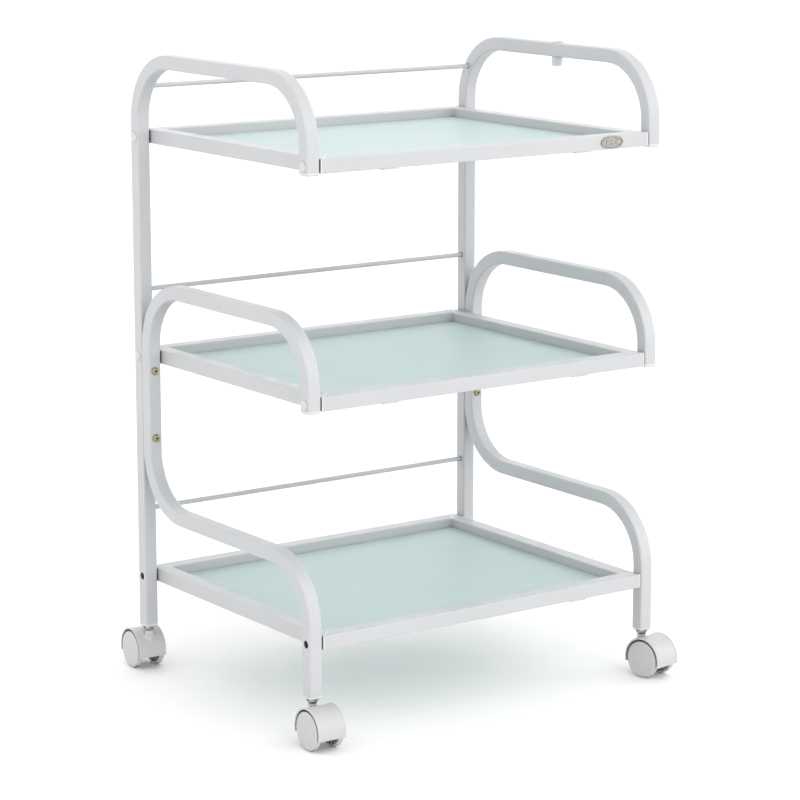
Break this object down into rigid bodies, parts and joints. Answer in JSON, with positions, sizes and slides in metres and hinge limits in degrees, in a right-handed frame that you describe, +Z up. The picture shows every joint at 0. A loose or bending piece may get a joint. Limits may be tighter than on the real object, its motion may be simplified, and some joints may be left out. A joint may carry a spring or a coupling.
{
  "type": "rolling salon trolley",
  "caption": "Rolling trolley with bent square tube sides, framed glass shelves, rear rods and twin-wheel swivel casters.",
  "frame": {"origin": "on the floor under the middle of the trolley's frame", "axes": "+X to the right seen from the front, front faces -Y, +Z up"},
  "size_m": [0.5982, 0.513, 0.8597],
  "materials": {
    "white_powder_coat": "satin white powder coat on steel tube",
    "mint_glass": "frosted pale mint safety glass",
    "clear_pad": "clear soft pad",
    "white_plastic": "satin moulded white plastic",
    "zinc_steel": "bright zinc plate",
    "brass_plated_steel": "yellow zinc plate",
    "pewter": "satin pewter-coloured plate",
    "caster_plastic": "satin warm off-white nylon"
  },
  "bodies": {
    "chassis": {"left_rear_upright_tube": "white_powder_coat", "left_front_leg_tube": "white_powder_coat", "right_rear_upright_tube": "white_powder_coat", "right_front_leg_tube": "white_powder_coat", "arch_end_plugs": "white_plastic", "front_left_leg_plug": "white_plastic", "front_right_leg_plug": "white_plastic", "rear_left_leg_plug": "white_plastic", "rear_right_leg_plug": "white_plastic", "top_shelf_front_rail": "white_powder_coat", "top_shelf_rear_rail": "white_powder_coat", "top_shelf_left_rail": "white_powder_coat", "top_shelf_right_rail": "white_powder_coat", "top_glass_panel": "mint_glass", "top_rear_rod": "white_powder_coat", "middle_shelf_front_rail": "white_powder_coat", "middle_shelf_rear_rail": "white_powder_coat", "middle_shelf_left_rail": "white_powder_coat", "middle_shelf_right_rail": "white_powder_coat", "middle_glass_panel": "mint_glass", "middle_rear_rod": "white_powder_coat", "bottom_shelf_front_rail": "white_powder_coat", "bottom_shelf_rear_rail": "white_powder_coat", "bottom_shelf_left_rail": "white_powder_coat", "bottom_shelf_right_rail": "white_powder_coat", "bottom_glass_panel": "mint_glass", "bottom_rear_rod": "white_powder_coat", "glass_tabs": "white_powder_coat", "glass_pads": "clear_pad", "shelf_bolts": "zinc_steel", "spacer_washers": "zinc_steel", "tube_screws": "brass_plated_steel", "hex_nuts": "zinc_steel", "hole_caps": "white_plastic", "lamp_socket_bushing": "white_plastic", "oval_badge": "pewter", "front_left_caster_stem": "zinc_steel", "front_right_caster_stem": "zinc_steel", "rear_left_caster_stem": "zinc_steel", "rear_right_caster_stem": "zinc_steel"},
    "front_left_swivel": {"front_left_caster_hood": "caster_plastic", "front_left_caster_axle": "zinc_steel"},
    "front_left_left_wheel": {"front_left_caster_left_wheel": "caster_plastic"},
    "front_left_right_wheel": {"front_left_caster_right_wheel": "caster_plastic"},
    "front_right_swivel": {"front_right_caster_hood": "caster_plastic", "front_right_caster_axle": "zinc_steel"},
    "front_right_left_wheel": {"front_right_caster_left_wheel": "caster_plastic"},
    "front_right_right_wheel": {"front_right_caster_right_wheel": "caster_plastic"},
    "rear_left_swivel": {"rear_left_caster_hood": "caster_plastic", "rear_left_caster_axle": "zinc_steel"},
    "rear_left_left_wheel": {"rear_left_caster_left_wheel": "caster_plastic"},
    "rear_left_right_wheel": {"rear_left_caster_right_wheel": "caster_plastic"},
    "rear_right_swivel": {"rear_right_caster_hood": "caster_plastic", "rear_right_caster_axle": "zinc_steel"},
    "rear_right_left_wheel": {"rear_right_caster_left_wheel": "caster_plastic"},
    "rear_right_right_wheel": {"rear_right_caster_right_wheel": "caster_plastic"}
  },
  "joints": [
    {"name": "front_left_swivel_joint", "type": "hinge", "parent": "chassis", "child": "front_left_swivel", "pos_m": [-0.274, -0.2055, 0.0553], "axis": [0, 0, 1], "continuous": true},
    {"name": "front_left_left_wheel_roll", "type": "hinge", "parent": "front_left_swivel", "child": "front_left_left_wheel", "pos_m": [-0.27465, -0.22399, 0.0254], "axis": [0.9994, -0.0349, 0], "continuous": true},
    {"name": "front_left_right_wheel_roll", "type": "hinge", "parent": "front_left_swivel", "child": "front_left_right_wheel", "pos_m": [-0.27465, -0.22399, 0.0254], "axis": [0.9994, -0.0349, 0], "continuous": true},
    {"name": "front_right_swivel_joint", "type": "hinge", "parent": "chassis", "child": "front_right_swivel", "pos_m": [0.274, -0.2055, 0.0553], "axis": [0, 0, 1], "continuous": true},
    {"name": "front_right_left_wheel_roll", "type": "hinge", "parent": "front_right_swivel", "child": "front_right_left_wheel", "pos_m": [0.27673, -0.2238, 0.0254], "axis": [0.989, 0.1478, 0], "continuous": true},
    {"name": "front_right_right_wheel_roll", "type": "hinge", "parent": "front_right_swivel", "child": "front_right_right_wheel", "pos_m": [0.27673, -0.2238, 0.0254], "axis": [0.989, 0.1478, 0], "continuous": true},
    {"name": "rear_left_swivel_joint", "type": "hinge", "parent": "chassis", "child": "rear_left_swivel", "pos_m": [-0.274, 0.2055, 0.0553], "axis": [0, 0, 1], "continuous": true},
    {"name": "rear_left_left_wheel_roll", "type": "hinge", "parent": "rear_left_swivel", "child": "rear_left_left_wheel", "pos_m": [-0.27271, 0.22395, 0.0254], "axis": [-0.9976, 0.0698, 0], "continuous": true},
    {"name": "rear_left_right_wheel_roll", "type": "hinge", "parent": "rear_left_swivel", "child": "rear_left_right_wheel", "pos_m": [-0.27271, 0.22395, 0.0254], "axis": [-0.9976, 0.0698, 0], "continuous": true},
    {"name": "rear_right_swivel_joint", "type": "hinge", "parent": "chassis", "child": "rear_right_swivel", "pos_m": [0.274, 0.2055, 0.0553], "axis": [0, 0, 1], "continuous": true},
    {"name": "rear_right_left_wheel_roll", "type": "hinge", "parent": "rear_right_swivel", "child": "rear_right_left_wheel", "pos_m": [0.27207, 0.2239, 0.0254], "axis": [-0.9945, -0.1045, 0], "continuous": true},
    {"name": "rear_right_right_wheel_roll", "type": "hinge", "parent": "rear_right_swivel", "child": "rear_right_right_wheel", "pos_m": [0.27207, 0.2239, 0.0254], "axis": [-0.9945, -0.1045, 0], "continuous": true}
  ]
}
